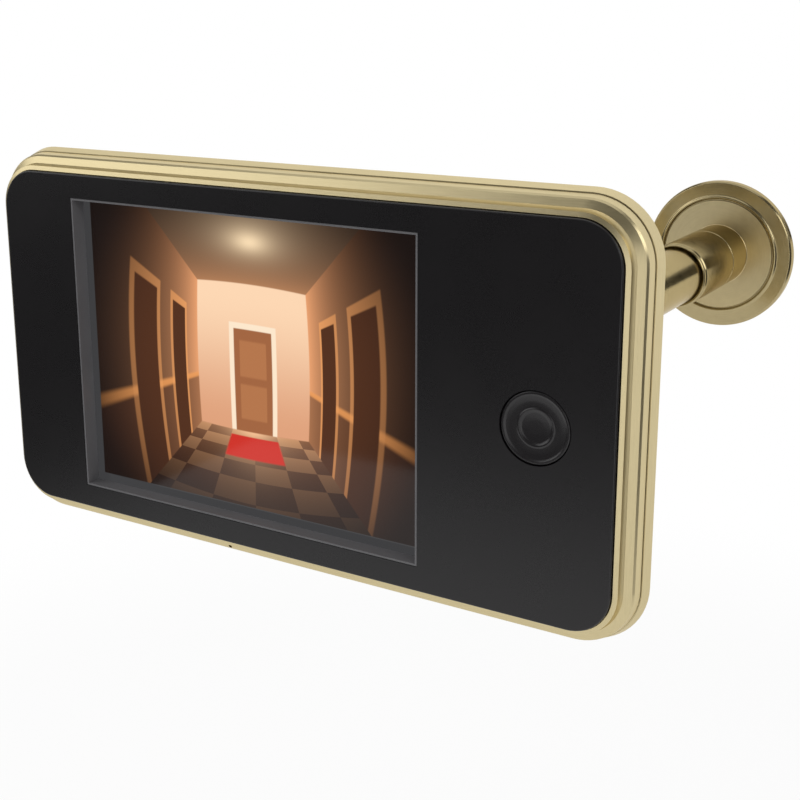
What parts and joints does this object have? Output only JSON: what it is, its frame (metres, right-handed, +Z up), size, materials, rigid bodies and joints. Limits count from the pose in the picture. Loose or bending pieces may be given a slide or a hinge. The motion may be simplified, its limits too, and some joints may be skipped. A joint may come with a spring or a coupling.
{
  "type": "peephole door camera",
  "caption": "Door viewer: a battery monitor with a screen and a call button on the inside of a door, clamped through a door hole to a camera head with a round flange outside.",
  "frame": {"origin": "centre of the door hole at the door's inner face, which is the back plane of the adhesive pads", "axes": "+Y out through the door along the clamp tube, +X to the right of someone who faces the screen, +Z up"},
  "size_m": [0.1296, 0.1029, 0.0708],
  "materials": {
    "satin_champagne": "satin metal-look finish with a fine brushed grain",
    "polished_brass": "turned and polished, darker than the monitor's rim",
    "panel_black": "smooth black acrylic",
    "surround_grey": "moulded grey",
    "screen_glass": "display glass, lit from behind",
    "steel": "plated sheet",
    "board_green": "solder mask",
    "chip_black": "moulded package",
    "inner_black": "moulded",
    "socket_ivory": "moulded",
    "flex_amber": "polyimide film",
    "cell_wrap": "printed foil without words",
    "pad_foam": "foam tape",
    "optical_glass": "coated"
  },
  "bodies": {
    "wall_mount": {"wall_plate": "steel", "adhesive_pads": "pad_foam"},
    "monitor": {"front_frame": "satin_champagne", "front_panel": "panel_black", "screen_surround": "surround_grey", "lcd_glass": "screen_glass", "lcd_backlight": "inner_black", "switch_body": "chip_black", "main_board": "board_green", "board_chips": "chip_black", "lcd_socket": "socket_ivory", "lcd_flex": "flex_amber", "rear_shell": "satin_champagne", "battery_tray": "inner_black", "battery_cells": "cell_wrap", "battery_contacts": "steel", "battery_springs": "steel", "board_screws": "steel", "housing_screws": "steel", "ribbon_socket": "socket_ivory", "ribbon_cable": "flex_amber"},
    "call_button": {"button_cap": "panel_black", "switch_plunger": "inner_black"},
    "battery_cover": {"battery_door": "satin_champagne"},
    "locking_screw": {"lock_screw": "steel"},
    "clamp": {"clamp_tube": "polished_brass"},
    "camera_head": {"outer_barrel": "polished_brass", "camera_flange": "polished_brass", "camera_board": "board_green", "image_sensor": "chip_black", "camera_socket": "socket_ivory", "lens_holder": "inner_black", "lens_ring": "inner_black", "cover_glass": "optical_glass", "lens_barrel": "inner_black", "front_lens_element": "optical_glass", "rear_lens_element": "optical_glass"}
  },
  "joints": [
    {"name": "unit_lift", "type": "slide", "parent": "wall_mount", "child": "monitor", "axis": [0, 0, 1], "range_m": [0, 0.0035], "deforming": ["ribbon_cable"]},
    {"name": "button_press", "type": "slide", "parent": "monitor", "child": "call_button", "axis": [0, 1, 0], "range_m": [0, 0.0005], "stiffness_N_per_m": 1500, "springref_m": -0.0004},
    {"name": "battery_door_slide", "type": "slide", "parent": "monitor", "child": "battery_cover", "axis": [-1, 0, 0], "range_m": [0, 0.008]},
    {"name": "lock_screw_travel", "type": "slide", "parent": "monitor", "child": "locking_screw", "axis": [0, 0, -1], "range_m": [-0.003, 0]},
    {"name": "tube_turn", "type": "hinge", "parent": "wall_mount", "child": "clamp", "pos_m": [0, 0, 0], "axis": [0, 1, 0], "range_deg": [0, 2881]},
    {"name": "camera_slide", "type": "slide", "parent": "wall_mount", "child": "camera_head", "axis": [0, -1, 0], "range_m": [0, 0.01], "deforming": ["ribbon_cable"]}
  ],
  "couplings": [
    {"joint": "tube_turn", "follows": "camera_slide", "rad_per_m": 5026.5}
  ]
}
